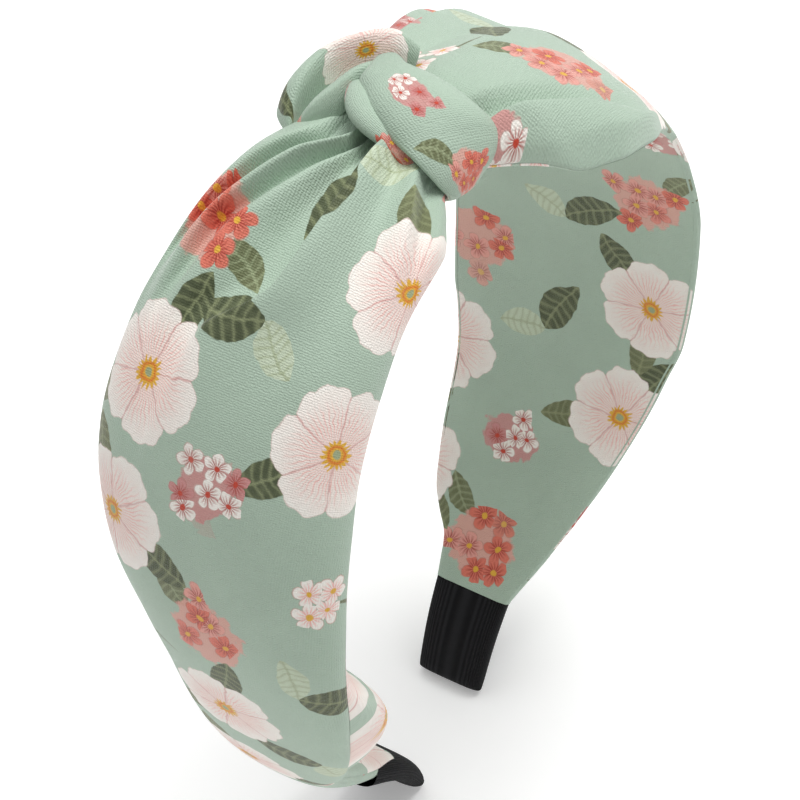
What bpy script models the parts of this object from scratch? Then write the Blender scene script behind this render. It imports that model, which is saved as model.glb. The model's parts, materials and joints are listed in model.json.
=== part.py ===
"""Knotted fabric headband, standing on its two tips.

A thin plastic hoop carries a flat lining inside, a loose gathered cover on the outside of each
leg, a knot over the crown and a black ribbed ribbon sleeve on each tip.  Units are metres, +Z is
up, -Y is the wearer's front and the left leg is at -X.  The origin is under the middle of the
band, at the height of the tips.

The hoop line is measured from the middle of the crown as an arc length s.  At each s the band has
a width direction y (front to back) and a height h (positive towards the outside of the hoop).
"""
import bpy
import math

MM = 0.001

# Hoop line of one leg: arcs (radius mm, sweep degrees) that run into each other, then a straight
# tip.  The last arc bends the other way, so that the tips flare out a little behind the ears.
HOOP_ARCS = ((53.0, 50.0), (72.0, 44.0), (110.0, 42.0), (50.0, -22.0))
TIP_STRAIGHT = 5.6
LEG_LENGTH = sum(radius * abs(math.radians(sweep)) for radius, sweep in HOOP_ARCS) + TIP_STRAIGHT

# Where the hoop flexes when the band is put on: one line each side of the knot
FLEX_S = 34.0
FLEX_GAP = 0.8
FLEX_SLOPE = 0.16          # the gap between crown and leg opens by this much per mm of height

# Plastic hoop
HOOP_THICKNESS = 1.6
HOOP_CHAMFER = 0.35
HOOP_HALF_WIDTH = ((0.0, 10.4), (34.0, 10.6), (70.0, 10.6), (90.0, 9.6), (105.0, 8.2),
                   (125.0, 6.9), (150.0, 6.4), (170.0, 5.8), (187.0, 5.0), (207.0, 4.6))

# Gathered covers: half widths to the front and to the back, and height above the hoop line
LEFT_FRONT = ((34.0, 17.5), (60.0, 18.5), (80.0, 20.0), (100.0, 21.0), (125.0, 21.5),
              (150.0, 19.0), (170.0, 14.5), (187.0, 9.0))
LEFT_BACK = ((34.0, 23.0), (60.0, 24.8), (80.0, 20.5), (92.0, 15.5), (105.0, 12.0),
             (125.0, 10.6), (150.0, 10.2), (170.0, 9.6), (187.0, 7.6))
RIGHT_FRONT = ((34.0, 27.0), (60.0, 24.4), (90.0, 24.6), (113.0, 26.0), (131.0, 24.5),
               (152.0, 19.5), (170.0, 14.0), (187.0, 8.5))
RIGHT_BACK = ((34.0, 22.0), (60.0, 24.0), (90.0, 24.0), (113.0, 22.5), (131.0, 20.0),
              (152.0, 17.0), (170.0, 14.5), (187.0, 8.5))
LEFT_HEIGHT = ((34.0, 9.0), (65.0, 8.2), (85.0, 6.8), (104.0, 5.4), (125.0, 4.8), (150.0, 4.6),
               (170.0, 4.4), (187.0, 3.8))
RIGHT_HEIGHT = ((34.0, 5.4), (65.0, 4.6), (104.0, 4.3), (150.0, 4.2), (187.0, 3.8))
COVER_WALL = 1.2
COVER_LIP = 1.4            # how far the cover turns round the edge, below the hoop's inner face
COVER_POWER = 3.0
COVER_START_GAP = FLEX_GAP / 2
COVER_END_S = 186.0

# Lining, a flat strip inside the hoop
LINING_TOP = -0.5
LINING_THICKNESS = 1.0
LINING_EDGE_GAP = 0.5
CROWN_LINING_HALF = 10.8

# Gathers: the covers drawn together under the knot
GATHER_BASE = 2.1
GATHER_SIDE = 0.8
GATHER_INNER_S = 1.0
GATHER_FRONT = ((0.0, 15.0), (14.0, 16.5), (34.0, 17.5))
GATHER_FRONT_RIGHT = ((0.0, 15.0), (14.0, 23.0), (34.0, 27.0))
GATHER_BACK = ((0.0, 3.0), (14.0, 13.0), (34.0, 23.0))
GATHER_HEIGHT = ((0.0, 7.0), (12.0, 7.4), (24.0, 8.4), (34.0, 9.0))
GATHER_HEIGHT_RIGHT = ((0.0, 7.0), (12.0, 6.8), (24.0, 5.8), (34.0, 5.4))

# Knot: a flat fold of cloth that goes all round the crown, and a rolled loop behind it
WRAP_LINE = ((-24.0, 2.0), (-21.5, 7.5), (-15.5, 11.6), (-8.0, 12.4), (-0.5, 11.0), (7.0, 8.2),
             (12.5, 5.0), (15.8, 0.8), (13.5, -3.6), (4.0, -4.6), (-8.0, -4.6), (-19.0, -3.6))
WRAP_HALF_WIDTH = 8.0
WRAP_THICKNESS = 2.4
WRAP_LEAN = 0.22           # the fold leans to the left as it comes forward
LOOP_LINE = ((15.6, -1.5, 10.6), (15.0, 6.0, 10.8), (9.0, 12.5, 11.2), (0.0, 15.5, 10.8),
             (-8.5, 14.6, 10.9), (-15.0, 8.5, 11.4), (-16.5, 2.0, 11.4))
LOOP_RADII = (4.2, 3.1)    # across and up

# Ribbon sleeves
RIBBON_START_S = 186.6
RIBBON_HALF_WIDTH = (6.8, 6.3)
RIBBON_LOW, RIBBON_HIGH = -1.6, 3.2
RIBBON_WALL = 1.1
RIBBON_CORNER = 1.0
RIBBON_END_FLAT = 0.8      # half width of the flat middle of the closed end
RIBBON_END_FALL = 0.12     # from there the end falls away, rounded as a folded ribbon end is
RIBBON_POCKET_END = 206.0
HOOP_END_S = 205.6

LEFT, RIGHT = -1, 1

MATERIALS = {
    "hoop_plastic": ((0.62, 0.63, 0.62), 0.35, 0.0),
    "cover_fabric_left": ((0.45, 0.60, 0.51), 0.62, 0.0),
    "cover_fabric_right": ((0.47, 0.61, 0.52), 0.62, 0.0),
    "lining_fabric_left": ((0.43, 0.57, 0.49), 0.66, 0.0),
    "lining_fabric_right": ((0.43, 0.57, 0.49), 0.66, 0.0),
    "lining_fabric_crown": ((0.43, 0.57, 0.49), 0.66, 0.0),
    "gather_fabric_left": ((0.44, 0.59, 0.50), 0.62, 0.0),
    "gather_fabric_right": ((0.60, 0.52, 0.48), 0.62, 0.0),
    "wrap_fabric": ((0.50, 0.60, 0.52), 0.60, 0.0),
    "loop_fabric": ((0.40, 0.55, 0.46), 0.60, 0.0),
    "ribbon_left": ((0.012, 0.012, 0.014), 0.70, 0.0),
    "ribbon_right": ((0.012, 0.012, 0.014), 0.70, 0.0),
}


def clear_scene():
    for item in list(bpy.data.objects):
        bpy.data.objects.remove(item, do_unlink=True)


def fabric_material(name):
    colour, roughness, metallic = MATERIALS[name]
    material = bpy.data.materials.new(name)
    material.use_nodes = True
    shader = material.node_tree.nodes["Principled BSDF"]
    shader.inputs["Base Color"].default_value = (*colour, 1.0)
    shader.inputs["Roughness"].default_value = roughness
    shader.inputs["Metallic"].default_value = metallic
    material.diffuse_color = (*colour, 1.0)
    return material


def profile(table, s):
    """Value of a table of (s, value) at s, eased between its entries."""
    if s <= table[0][0]:
        return table[0][1]
    for (s0, v0), (s1, v1) in zip(table, table[1:]):
        if s <= s1:
            t = (s - s0) / (s1 - s0)
            return v0 + (v1 - v0) * t * t * (3 - 2 * t) * 0.5 + (v1 - v0) * t * 0.5
    return table[-1][1]


def hoop_line(s):
    """Point (x, z) and turning angle of the right leg's hoop line, z counted from the crown."""
    x, z, angle, left_over = 0.0, 0.0, 0.0, s
    for radius, sweep in HOOP_ARCS:
        length = min(left_over, radius * abs(math.radians(sweep)))
        signed_radius = math.copysign(radius, sweep)
        turned = length / signed_radius
        x += signed_radius * (math.sin(angle + turned) - math.sin(angle))
        z += signed_radius * (math.cos(angle + turned) - math.cos(angle))
        angle += turned
        left_over -= length
    x += math.cos(angle) * left_over
    z -= math.sin(angle) * left_over
    return x, z, angle


TIP_X, TIP_Z, TIP_ANGLE = hoop_line(LEG_LENGTH)
CROWN_Z = -TIP_Z - RIBBON_HIGH * math.cos(TIP_ANGLE)     # brings the lowest tip corner to z = 0


def place(side, s, y, h, along=0.0):
    """World point at arc length s, width y and height h; along shifts it down the leg."""
    x, z, angle = hoop_line(s)
    x += math.sin(angle) * h + math.cos(angle) * along
    z += math.cos(angle) * h - math.sin(angle) * along
    return (side * x * MM, y * MM, (CROWN_Z + z) * MM)


def place_crown(s, y, h):
    """World point near the crown, where s may be negative for the left side."""
    return place(LEFT if s < 0 else RIGHT, abs(s), y, h)


def steps(start, end, count):
    return [start + (end - start) * i / (count - 1) for i in range(count)]


def add_solid(name, vertices, faces, material, origin=(0.0, 0.0, 0.0), smooth=True):
    """One closed named solid, its object origin moved to the given point."""
    mesh = bpy.data.meshes.new(name)
    shifted = [tuple(v[k] - origin[k] for k in range(3)) for v in vertices]
    mesh.from_pydata(shifted, [], faces)
    mesh.validate()
    mesh.update()
    solid = bpy.data.objects.new(name, mesh)
    solid.location = origin
    bpy.context.scene.collection.objects.link(solid)
    mesh.materials.append(fabric_material(material))
    for face in mesh.polygons:
        face.use_smooth = smooth
    face_outward(mesh)
    return solid


def face_outward(mesh):
    """Turns every face over if the closed mesh encloses a negative volume."""
    mesh.calc_loop_triangles()
    volume = 0.0
    for triangle in mesh.loop_triangles:
        a, b, c = (mesh.vertices[i].co for i in triangle.vertices)
        volume += a.dot(b.cross(c)) / 6
    if volume < 0:
        mesh.flip_normals()


def strip_solid(name, sections, material, origin=(0.0, 0.0, 0.0)):
    """Loft of sections; each section is (outer points, inner points) in matching order."""
    half = len(sections[0][0])
    ring = half * 2
    vertices = []
    for outer, inner in sections:
        vertices += list(outer) + list(reversed(inner))
    faces = []
    for i in range(len(sections) - 1):
        for k in range(ring):
            nxt = (k + 1) % ring
            faces.append((i * ring + k, i * ring + nxt, (i + 1) * ring + nxt, (i + 1) * ring + k))
    for base, flip in ((0, True), ((len(sections) - 1) * ring, False)):
        for k in range(half - 1):
            quad = (base + k, base + k + 1, base + ring - 2 - k, base + ring - 1 - k)
            faces.append(tuple(reversed(quad)) if flip else quad)
    return add_solid(name, vertices, faces, material, origin)


def ring_solid(name, rings, material, origin=(0.0, 0.0, 0.0), end_faces=None):
    """Loft of closed rings with a flat face over the first one and end_faces over the last."""
    count = len(rings[0])
    vertices = [point for ring in rings for point in ring]
    faces = [tuple(reversed(range(count)))]
    for i in range(len(rings) - 1):
        for k in range(count):
            nxt = (k + 1) % count
            faces.append((i * count + k, i * count + nxt,
                          (i + 1) * count + nxt, (i + 1) * count + k))
    last = (len(rings) - 1) * count
    for face in end_faces or [range(count)]:
        faces.append(tuple(last + k for k in face))
    return add_solid(name, vertices, faces, material, origin)


def flex_point(side):
    """Middle of the hoop's thickness on the flex line, the leg's turning axis."""
    return place(side, FLEX_S, 0.0, HOOP_THICKNESS / 2)


def arch(front, back, height, base, count):
    """Arched outline over the band: (y, h) from the front edge over the top to the back edge."""
    middle, half = (back - front) / 2, (front + back) / 2
    outline = []
    for i in range(count):
        turn = math.pi * (1 - i / (count - 1))
        c = math.cos(turn)
        y = middle + half * math.copysign(abs(c) ** (2 / COVER_POWER), c)
        h = base + (height - base) * max(math.sin(turn), 0.0) ** (2 / COVER_POWER)
        outline.append((y, h))
    return outline


def hoop_section(half_width):
    t, c = HOOP_THICKNESS, HOOP_CHAMFER
    outer = [(-half_width, c), (-half_width, t - c), (-half_width + c, t),
             (half_width - c, t), (half_width, t - c), (half_width, c)]
    inner = [(-half_width + c, 0.0), (-half_width + 2 * c, 0.0), (-half_width + 3 * c, 0.0),
             (half_width - 3 * c, 0.0), (half_width - 2 * c, 0.0), (half_width - c, 0.0)]
    return outer + list(reversed(inner))


def build_hoop_crown():
    limit = FLEX_S - FLEX_GAP / 2
    rings = []
    for s in steps(-limit, limit, 25):
        section = hoop_section(profile(HOOP_HALF_WIDTH, abs(s)))
        rings.append([place_crown(s, y, h) for y, h in section])
    ring_solid("hoop_crown", rings, "hoop_plastic")


def build_hoop_leg(side, name):
    rings = []
    for s in steps(FLEX_S + FLEX_GAP / 2, HOOP_END_S, 48):
        section = hoop_section(profile(HOOP_HALF_WIDTH, s))
        rings.append([place(side, s, y, h) for y, h in section])
    ring_solid(name, rings, "hoop_plastic", flex_point(side))


def cover_size(side, s):
    """Half widths to the front and the back, and height above the hoop line."""
    if side == LEFT:
        tables = (LEFT_FRONT, LEFT_BACK, LEFT_HEIGHT)
    else:
        tables = (RIGHT_FRONT, RIGHT_BACK, RIGHT_HEIGHT)
    return tuple(profile(table, s) for table in tables)


def build_cover(side, name, material):
    """Loose outer cloth of one leg: an arched skin that turns round both edges of the hoop."""
    sections = []
    stations = steps(FLEX_S + COVER_START_GAP, COVER_END_S, 44)
    for index, s in enumerate(stations):
        front, back, height = cover_size(side, s)
        slope = FLEX_SLOPE if index == 0 else 0.0
        outer = arch(front, back, height, -COVER_LIP, 17)
        inner = arch(front - COVER_WALL, back - COVER_WALL, height - COVER_WALL, -COVER_LIP, 17)
        sections.append(tuple([place(side, s, y, h, slope * max(h, 0.0)) for y, h in line]
                              for line in (outer, inner)))
    strip_solid(name, sections, material, flex_point(side))


def build_lining(side, name, material):
    """Flat cloth strip on the inside of one leg, between the turned edges of the cover."""
    sections = []
    for s in steps(FLEX_S + 0.6, COVER_END_S, 40):
        front, back, _ = cover_size(side, s)
        inset = COVER_WALL + LINING_EDGE_GAP
        ys = steps(-(front - inset), back - inset, 5)
        low = LINING_TOP - LINING_THICKNESS
        sections.append(([place(side, s, y, LINING_TOP) for y in ys],
                         [place(side, s, y, low) for y in ys]))
    strip_solid(name, sections, material, flex_point(side))


def build_crown_lining():
    sections = []
    limit = FLEX_S - 0.6
    low = LINING_TOP - LINING_THICKNESS
    for s in steps(-limit, limit, 25):
        ys = steps(-CROWN_LINING_HALF, CROWN_LINING_HALF, 5)
        sections.append(([place_crown(s, y, LINING_TOP) for y in ys],
                         [place_crown(s, y, low) for y in ys]))
    strip_solid("lining_crown", sections, "lining_fabric_crown")


def build_gather(side, name, material):
    """Cover cloth drawn together from the leg's full width to the knot."""
    fronts = GATHER_FRONT if side == LEFT else GATHER_FRONT_RIGHT
    heights = GATHER_HEIGHT if side == LEFT else GATHER_HEIGHT_RIGHT
    sections = []
    stations = steps(GATHER_INNER_S, FLEX_S - COVER_START_GAP, 12)
    for index, s in enumerate(stations):
        front, back = profile(fronts, s), profile(GATHER_BACK, s)
        height = profile(heights, s)
        slope = -FLEX_SLOPE if index == len(stations) - 1 else 0.0
        outer = arch(front, back, height, GATHER_BASE + GATHER_SIDE, 15)
        inner = [(y, GATHER_BASE) for y, _ in outer]
        sections.append(tuple([place(side, s, y, h, slope * h) for y, h in line]
                              for line in (outer, inner)))
    strip_solid(name, sections, material)


def smooth_line(points, per_span, closed):
    """Rounded path through the points (Catmull-Rom)."""
    count = len(points)
    spans = count if closed else count - 1
    path = []
    for i in range(spans):
        if closed:
            p = [points[(i + k) % count] for k in (-1, 0, 1, 2)]
        else:
            p = [points[min(max(i + k, 0), count - 1)] for k in (-1, 0, 1, 2)]
        for j in range(per_span):
            t = j / per_span
            path.append(tuple(
                0.5 * (2 * p[1][a] + (p[2][a] - p[0][a]) * t
                       + (2 * p[0][a] - 5 * p[1][a] + 4 * p[2][a] - p[3][a]) * t * t
                       + (3 * p[1][a] - p[0][a] - 3 * p[2][a] + p[3][a]) * t ** 3)
                for a in range(len(points[0]))))
    if not closed:
        path.append(tuple(points[-1]))
    return path


def build_wrap():
    """Flat fold of cloth that goes once round hoop, lining and gathers."""
    line = smooth_line(WRAP_LINE, 4, closed=True)
    count = len(line)
    middle_y = sum(y for y, _ in line) / count
    outline = ((-1.0, -0.25), (-0.8, 0.4), (0.0, 0.5), (0.8, 0.4), (1.0, -0.25), (0.0, -0.5))
    vertices, faces = [], []
    for i, (y, h) in enumerate(line):
        y_next, h_next = line[(i + 1) % count]
        y_last, h_last = line[i - 1]
        dy, dh = y_next - y_last, h_next - h_last
        size = math.hypot(dy, dh)
        out_y, out_h = -dh / size, dy / size
        for across, up in outline:
            s = across * WRAP_HALF_WIDTH + WRAP_LEAN * (y - middle_y)
            lift = up * WRAP_THICKNESS
            vertices.append(place_crown(s, y + out_y * lift, h + out_h * lift))
    ring = len(outline)
    for i in range(count):
        for k in range(ring):
            a, b = i * ring + k, i * ring + (k + 1) % ring
            c, d = ((i + 1) % count) * ring + (k + 1) % ring, ((i + 1) % count) * ring + k
            faces.append((a, b, c, d))
    add_solid("knot_wrap", vertices, faces, "wrap_fabric")


def build_loop():
    """Rolled loop of cloth lying against the back of the knot."""
    line = smooth_line(LOOP_LINE, 4, closed=False)
    rings = []
    for i, (s, y, h) in enumerate(line):
        before, after = line[max(i - 1, 0)], line[min(i + 1, len(line) - 1)]
        ds, dy = after[0] - before[0], after[1] - before[1]
        size = math.hypot(ds, dy)
        side_s, side_y = -dy / size, ds / size
        ring = []
        for k in range(12):
            turn = 2 * math.pi * k / 12
            out, up = LOOP_RADII[0] * math.cos(turn), LOOP_RADII[1] * math.sin(turn)
            ring.append(place_crown(s + side_s * out, y + side_y * out, h + up))
        rings.append(ring)
    ring_solid("knot_loop", rings, "loop_fabric")


def ribbon_section(half_width, low, high, corner):
    """Rounded rectangle of twelve points, four of them at the edges of the flat end face."""
    w, c, m = half_width, corner, RIBBON_END_FLAT
    return [(-w, low + c), (-w, high - c), (-w + c, high), (-m, high), (m, high), (w - c, high),
            (w, high - c), (w, low + c), (w - c, low), (m, low), (-m, low), (-w + c, low)]


RIBBON_END_FACES = ((0, 1, 2, 3, 10, 11), (3, 4, 9, 10), (4, 5, 6, 7, 8, 9))


def build_ribbon(side, name, material):
    """Ribbon sleeve over the hoop's tip: open towards the cover, closed at the end."""
    wide, narrow = RIBBON_HALF_WIDTH
    wall = RIBBON_WALL
    rings = []
    for s in steps(RIBBON_POCKET_END, RIBBON_START_S, 8):
        section = ribbon_section(wide - wall - 0.2, RIBBON_LOW + wall, RIBBON_HIGH - wall, 0.2)
        rings.append([place(side, s, y, h) for y, h in section])
    stations = steps(RIBBON_START_S, LEG_LENGTH, 8)
    for s in stations:
        t = (s - RIBBON_START_S) / (LEG_LENGTH - RIBBON_START_S)
        half = wide + (narrow - wide) * t
        section = ribbon_section(half, RIBBON_LOW, RIBBON_HIGH, RIBBON_CORNER)
        fall = RIBBON_END_FALL if s == stations[-1] else 0.0
        rings.append([place(side, s, y, h, -fall * max(abs(y) - RIBBON_END_FLAT, 0.0))
                      for y, h in section])
    ring_solid(name, rings, material, flex_point(side), RIBBON_END_FACES)


def build_leg(side, word):
    build_hoop_leg(side, "hoop_leg_" + word)
    build_cover(side, "cover_" + word, "cover_fabric_" + word)
    build_lining(side, "lining_" + word, "lining_fabric_" + word)
    build_ribbon(side, "ribbon_tip_" + word, "ribbon_" + word)


def build_crown():
    build_hoop_crown()
    build_crown_lining()
    build_gather(LEFT, "gather_left", "gather_fabric_left")
    build_gather(RIGHT, "gather_right", "gather_fabric_right")
    build_wrap()
    build_loop()


clear_scene()
build_crown()
build_leg(LEFT, "left")
build_leg(RIGHT, "right")
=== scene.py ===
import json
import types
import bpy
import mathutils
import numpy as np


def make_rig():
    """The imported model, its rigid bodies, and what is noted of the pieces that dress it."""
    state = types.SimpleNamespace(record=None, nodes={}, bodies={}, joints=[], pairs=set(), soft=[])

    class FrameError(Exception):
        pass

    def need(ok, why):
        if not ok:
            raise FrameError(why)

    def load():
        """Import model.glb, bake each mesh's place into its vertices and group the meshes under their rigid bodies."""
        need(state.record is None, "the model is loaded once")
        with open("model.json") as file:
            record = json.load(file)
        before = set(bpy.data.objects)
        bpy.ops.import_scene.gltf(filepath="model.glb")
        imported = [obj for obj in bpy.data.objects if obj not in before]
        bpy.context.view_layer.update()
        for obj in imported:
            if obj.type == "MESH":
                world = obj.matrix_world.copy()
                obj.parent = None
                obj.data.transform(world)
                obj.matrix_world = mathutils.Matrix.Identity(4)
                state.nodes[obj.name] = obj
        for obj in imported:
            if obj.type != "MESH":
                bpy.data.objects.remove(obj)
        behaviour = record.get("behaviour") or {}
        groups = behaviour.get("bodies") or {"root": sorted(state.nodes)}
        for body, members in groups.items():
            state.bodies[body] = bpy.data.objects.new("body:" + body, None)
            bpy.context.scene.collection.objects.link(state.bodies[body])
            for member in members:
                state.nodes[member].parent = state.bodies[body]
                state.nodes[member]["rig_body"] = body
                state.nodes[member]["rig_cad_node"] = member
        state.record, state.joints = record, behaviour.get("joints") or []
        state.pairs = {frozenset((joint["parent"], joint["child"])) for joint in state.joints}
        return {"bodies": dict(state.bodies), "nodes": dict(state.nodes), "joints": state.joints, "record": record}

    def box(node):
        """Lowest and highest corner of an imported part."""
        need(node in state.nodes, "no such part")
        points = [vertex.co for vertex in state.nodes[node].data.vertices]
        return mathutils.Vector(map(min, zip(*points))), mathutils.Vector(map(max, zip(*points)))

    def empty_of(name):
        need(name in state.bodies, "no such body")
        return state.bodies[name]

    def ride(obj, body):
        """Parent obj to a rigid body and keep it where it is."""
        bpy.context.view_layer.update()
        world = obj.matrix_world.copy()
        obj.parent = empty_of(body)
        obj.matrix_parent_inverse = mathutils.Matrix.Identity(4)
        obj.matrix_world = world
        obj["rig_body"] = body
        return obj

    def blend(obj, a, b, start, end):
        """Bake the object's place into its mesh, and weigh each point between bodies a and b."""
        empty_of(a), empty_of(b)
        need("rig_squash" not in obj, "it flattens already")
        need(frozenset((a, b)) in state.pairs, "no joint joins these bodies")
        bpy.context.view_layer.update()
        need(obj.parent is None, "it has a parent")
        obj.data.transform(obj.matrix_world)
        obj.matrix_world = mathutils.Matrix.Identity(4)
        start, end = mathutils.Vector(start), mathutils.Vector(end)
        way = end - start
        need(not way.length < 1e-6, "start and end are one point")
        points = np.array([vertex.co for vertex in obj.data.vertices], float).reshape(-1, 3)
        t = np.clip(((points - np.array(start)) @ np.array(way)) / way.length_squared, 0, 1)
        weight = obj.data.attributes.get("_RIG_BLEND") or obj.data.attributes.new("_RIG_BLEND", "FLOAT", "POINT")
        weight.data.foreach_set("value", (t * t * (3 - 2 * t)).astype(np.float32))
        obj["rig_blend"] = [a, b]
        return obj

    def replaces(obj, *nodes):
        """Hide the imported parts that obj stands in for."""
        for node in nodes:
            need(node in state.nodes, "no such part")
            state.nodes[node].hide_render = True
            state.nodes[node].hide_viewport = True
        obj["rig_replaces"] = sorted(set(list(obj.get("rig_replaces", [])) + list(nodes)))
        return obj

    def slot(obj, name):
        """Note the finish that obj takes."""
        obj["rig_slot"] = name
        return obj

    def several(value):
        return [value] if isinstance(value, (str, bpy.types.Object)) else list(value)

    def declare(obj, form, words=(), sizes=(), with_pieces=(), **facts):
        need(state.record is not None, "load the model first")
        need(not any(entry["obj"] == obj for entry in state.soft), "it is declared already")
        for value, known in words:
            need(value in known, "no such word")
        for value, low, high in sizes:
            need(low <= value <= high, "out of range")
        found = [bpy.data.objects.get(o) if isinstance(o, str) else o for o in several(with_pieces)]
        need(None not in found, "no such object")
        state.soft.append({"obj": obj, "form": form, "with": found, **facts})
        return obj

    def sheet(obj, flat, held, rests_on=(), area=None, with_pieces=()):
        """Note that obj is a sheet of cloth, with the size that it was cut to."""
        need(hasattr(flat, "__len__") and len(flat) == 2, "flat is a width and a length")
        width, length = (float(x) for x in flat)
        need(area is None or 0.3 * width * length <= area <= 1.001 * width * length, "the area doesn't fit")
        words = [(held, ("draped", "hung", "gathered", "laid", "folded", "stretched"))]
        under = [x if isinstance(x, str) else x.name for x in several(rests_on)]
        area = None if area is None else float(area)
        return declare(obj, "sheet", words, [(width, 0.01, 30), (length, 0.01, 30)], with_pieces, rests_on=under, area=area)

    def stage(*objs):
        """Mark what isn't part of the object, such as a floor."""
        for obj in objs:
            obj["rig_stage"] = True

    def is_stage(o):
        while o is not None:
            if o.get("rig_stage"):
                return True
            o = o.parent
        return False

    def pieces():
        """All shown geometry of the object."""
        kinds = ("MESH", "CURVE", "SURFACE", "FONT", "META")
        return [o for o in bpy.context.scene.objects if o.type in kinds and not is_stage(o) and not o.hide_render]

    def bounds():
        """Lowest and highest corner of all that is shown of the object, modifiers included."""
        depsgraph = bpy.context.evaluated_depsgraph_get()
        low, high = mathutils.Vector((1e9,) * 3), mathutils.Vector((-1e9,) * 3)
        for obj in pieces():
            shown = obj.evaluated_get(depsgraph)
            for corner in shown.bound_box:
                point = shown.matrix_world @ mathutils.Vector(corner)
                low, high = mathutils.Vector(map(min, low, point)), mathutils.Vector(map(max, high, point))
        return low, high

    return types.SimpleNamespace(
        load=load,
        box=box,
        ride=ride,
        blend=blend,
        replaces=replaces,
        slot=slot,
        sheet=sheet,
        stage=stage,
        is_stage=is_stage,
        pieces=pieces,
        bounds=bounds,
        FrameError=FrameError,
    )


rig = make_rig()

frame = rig.load()

# Looks of the knotted headband.  The cloth is laid out on the band's own line: s is the distance
# along the hoop from the middle of the crown (negative on the left leg), y runs from the front
# (negative) to the back, and h is the height above the hoop, towards the outside.  All three are
# in millimetres, and band_point turns them into the frame.
import json
import math
import random

import bpy
import numpy as np
from mathutils import Matrix, Vector

CAD_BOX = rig.bounds()
MM = 0.001
LEFT, RIGHT = -1, 1

# The hoop line of the CAD model: arcs (radius, sweep in degrees) and a straight tip
HOOP_ARCS = ((53.0, 50.0), (72.0, 44.0), (110.0, 42.0), (50.0, -22.0))
TIP_STRAIGHT = 5.6
LEG_LENGTH = sum(radius * abs(math.radians(sweep)) for radius, sweep in HOOP_ARCS) + TIP_STRAIGHT
HOOP_THICKNESS = 1.6
CROWN_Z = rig.box("hoop_crown")[1].z / MM - HOOP_THICKNESS
FLEX_S = 34.0
FLEX_REACH = 9.0           # the cloth bends this far to either side of the flex line


# ---------------------------------------------------------------- tables and curves

def eased(table, at):
    """Values of a table of (position, value) at every position asked for, without overshoot."""
    xs = np.array([row[0] for row in table], float)
    ys = np.array([row[1] for row in table], float)
    return eased_columns(xs, ys, np.asarray(at, float))


def eased_columns(xs, ys, at):
    """Monotone cubic interpolation."""
    if len(xs) == 2:
        return np.interp(at, xs, ys)
    steps = np.diff(xs)
    slopes = np.diff(ys) / steps
    ends = np.zeros(len(xs))
    same_way = slopes[:-1] * slopes[1:] > 0
    weight_a, weight_b = 2 * steps[1:] + steps[:-1], steps[1:] + 2 * steps[:-1]
    safe_a = np.where(same_way, slopes[:-1], 1.0)
    safe_b = np.where(same_way, slopes[1:], 1.0)
    mean = (weight_a + weight_b) / (weight_a / safe_a + weight_b / safe_b)
    ends[1:-1] = np.where(same_way, mean, 0.0)
    ends[0], ends[-1] = slopes[0], slopes[-1]
    at = np.clip(at, xs[0], xs[-1])
    i = np.clip(np.searchsorted(xs, at, side="right") - 1, 0, len(xs) - 2)
    t = (at - xs[i]) / steps[i]
    return (ys[i] * (1 + 2 * t) * (1 - t) ** 2 + ends[i] * steps[i] * t * (1 - t) ** 2
            + ys[i + 1] * t * t * (3 - 2 * t) + ends[i + 1] * steps[i] * t * t * (t - 1))


def hoop_line(s):
    """Point (x, z) and turning angle of the right leg's hoop line, z counted from the crown."""
    left_over = np.asarray(s, float)
    x, z, angle = np.zeros_like(left_over), np.zeros_like(left_over), np.zeros_like(left_over)
    for radius, sweep in HOOP_ARCS:
        length = np.minimum(left_over, radius * abs(math.radians(sweep)))
        signed_radius = math.copysign(radius, sweep)
        turned = length / signed_radius
        x = x + signed_radius * (np.sin(angle + turned) - np.sin(angle))
        z = z + signed_radius * (np.cos(angle + turned) - np.cos(angle))
        angle = angle + turned
        left_over = left_over - length
    return x + np.cos(angle) * left_over, z - np.sin(angle) * left_over, angle


def band_point(s, y, h):
    """Points in millimetres for arrays of s (negative on the left leg), y and h."""
    s, y, h = np.broadcast_arrays(np.asarray(s, float), y, h)
    side = np.where(s < 0, -1.0, 1.0)
    x, z, angle = hoop_line(np.abs(s))
    return np.stack([side * (x + np.sin(angle) * h), y + 0.0, CROWN_Z + z + np.cos(angle) * h], -1)


def smooth_path(points, count):
    """Evenly numbered points on a rounded path through the given ones."""
    points = np.array(points, float)
    position = np.arange(len(points), dtype=float)
    at = np.linspace(0.0, len(points) - 1.0, count)
    return np.stack([catmull(position, points[:, k], at) for k in range(points.shape[1])], -1)


def catmull(xs, ys, at):
    i = np.clip(np.floor(at).astype(int), 0, len(xs) - 2)
    t = at - i
    before, after = ys[np.maximum(i - 1, 0)], ys[np.minimum(i + 2, len(ys) - 1)]
    a, b = ys[i], ys[i + 1]
    return 0.5 * (2 * a + (b - before) * t + (2 * before - 5 * a + 4 * b - after) * t * t
                  + (3 * a - before - 3 * b + after) * t ** 3)


# ---------------------------------------------------------------- meshes

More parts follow.
